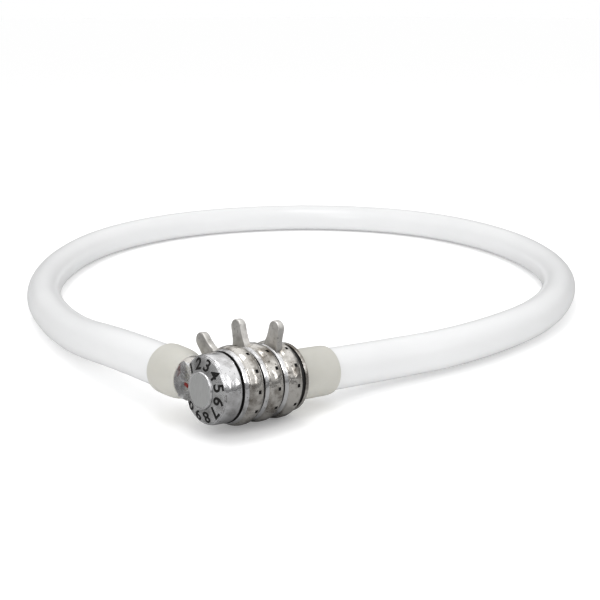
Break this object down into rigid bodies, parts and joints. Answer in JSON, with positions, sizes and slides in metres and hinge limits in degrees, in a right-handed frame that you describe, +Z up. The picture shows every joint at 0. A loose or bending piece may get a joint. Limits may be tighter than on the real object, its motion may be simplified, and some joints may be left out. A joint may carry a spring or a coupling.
{
  "type": "cable luggage lock",
  "caption": "Sheathed steel cable loop closed by a small die-cast combination lock with lever rings; the pin end draws out along the ring axis.",
  "frame": {"origin": "centre of the front of the round plate in the dial, on the axis of the rings", "axes": "+X runs back along the lock towards the removable cable end, level, with the ring axis dipping 5 degrees below it; +Y runs out along the anchored cable end; +Z is up, off the surface the loop lies on"},
  "size_m": [0.2425, 0.2315, 0.0275],
  "materials": {
    "plated_die_cast": "nickel plated zinc, slightly pitted, mottled reflections",
    "polished_plate": "satin nickel with a bright rim",
    "mark_enamel": "dark red enamel",
    "steel": "turned and ground",
    "spring_steel": "blued strip",
    "brass": "turned",
    "black_washer": "black nylon",
    "warm_grey_plastic": "warm grey moulded plastic, satin",
    "milky_pvc": "milky white soft PVC, soft gloss",
    "ferrule": "crimped",
    "strand": "galvanised strand"
  },
  "bodies": {
    "lock_body": {"front_housing": "plated_die_cast", "centre_disc": "polished_plate", "index_mark": "mark_enamel", "barrel": "steel", "rear_washer": "black_washer", "rear_flange": "plated_die_cast", "anchor_sleeve": "warm_grey_plastic", "anchor_ferrule": "ferrule", "anchor_pin": "steel", "cable_core": "strand", "cable_sheath": "milky_pvc", "spacer_washer_1": "brass", "spacer_washer_2": "brass", "spacer_washer_3": "brass", "click_spring_1": "spring_steel", "click_spring_2": "spring_steel", "click_spring_3": "spring_steel"},
    "cable_plug": {"locking_pin": "steel", "pin_ferrule": "ferrule", "pin_sleeve": "warm_grey_plastic"},
    "ring_1": {"lever_ring_1": "plated_die_cast", "gate_ring_1": "brass"},
    "ring_2": {"lever_ring_2": "plated_die_cast", "gate_ring_2": "brass"},
    "ring_3": {"lever_ring_3": "plated_die_cast", "gate_ring_3": "brass"}
  },
  "joints": [
    {"name": "ring_1_turn", "type": "hinge", "parent": "lock_body", "child": "ring_1", "pos_m": [0, 0, 0], "axis": [0.9962, 0, -0.0872], "range_deg": [0, 270]},
    {"name": "ring_2_turn", "type": "hinge", "parent": "lock_body", "child": "ring_2", "pos_m": [0, 0, 0], "axis": [0.9962, 0, -0.0872], "range_deg": [-30, 240]},
    {"name": "ring_3_turn", "type": "hinge", "parent": "lock_body", "child": "ring_3", "pos_m": [0, 0, 0], "axis": [0.9962, 0, -0.0872], "range_deg": [-60, 210]},
    {"name": "pin_draw", "type": "slide", "parent": "lock_body", "child": "cable_plug", "axis": [0.9962, 0, -0.0872], "range_m": [0, 0.028], "deforming": ["cable_sheath", "cable_core"]}
  ]
}
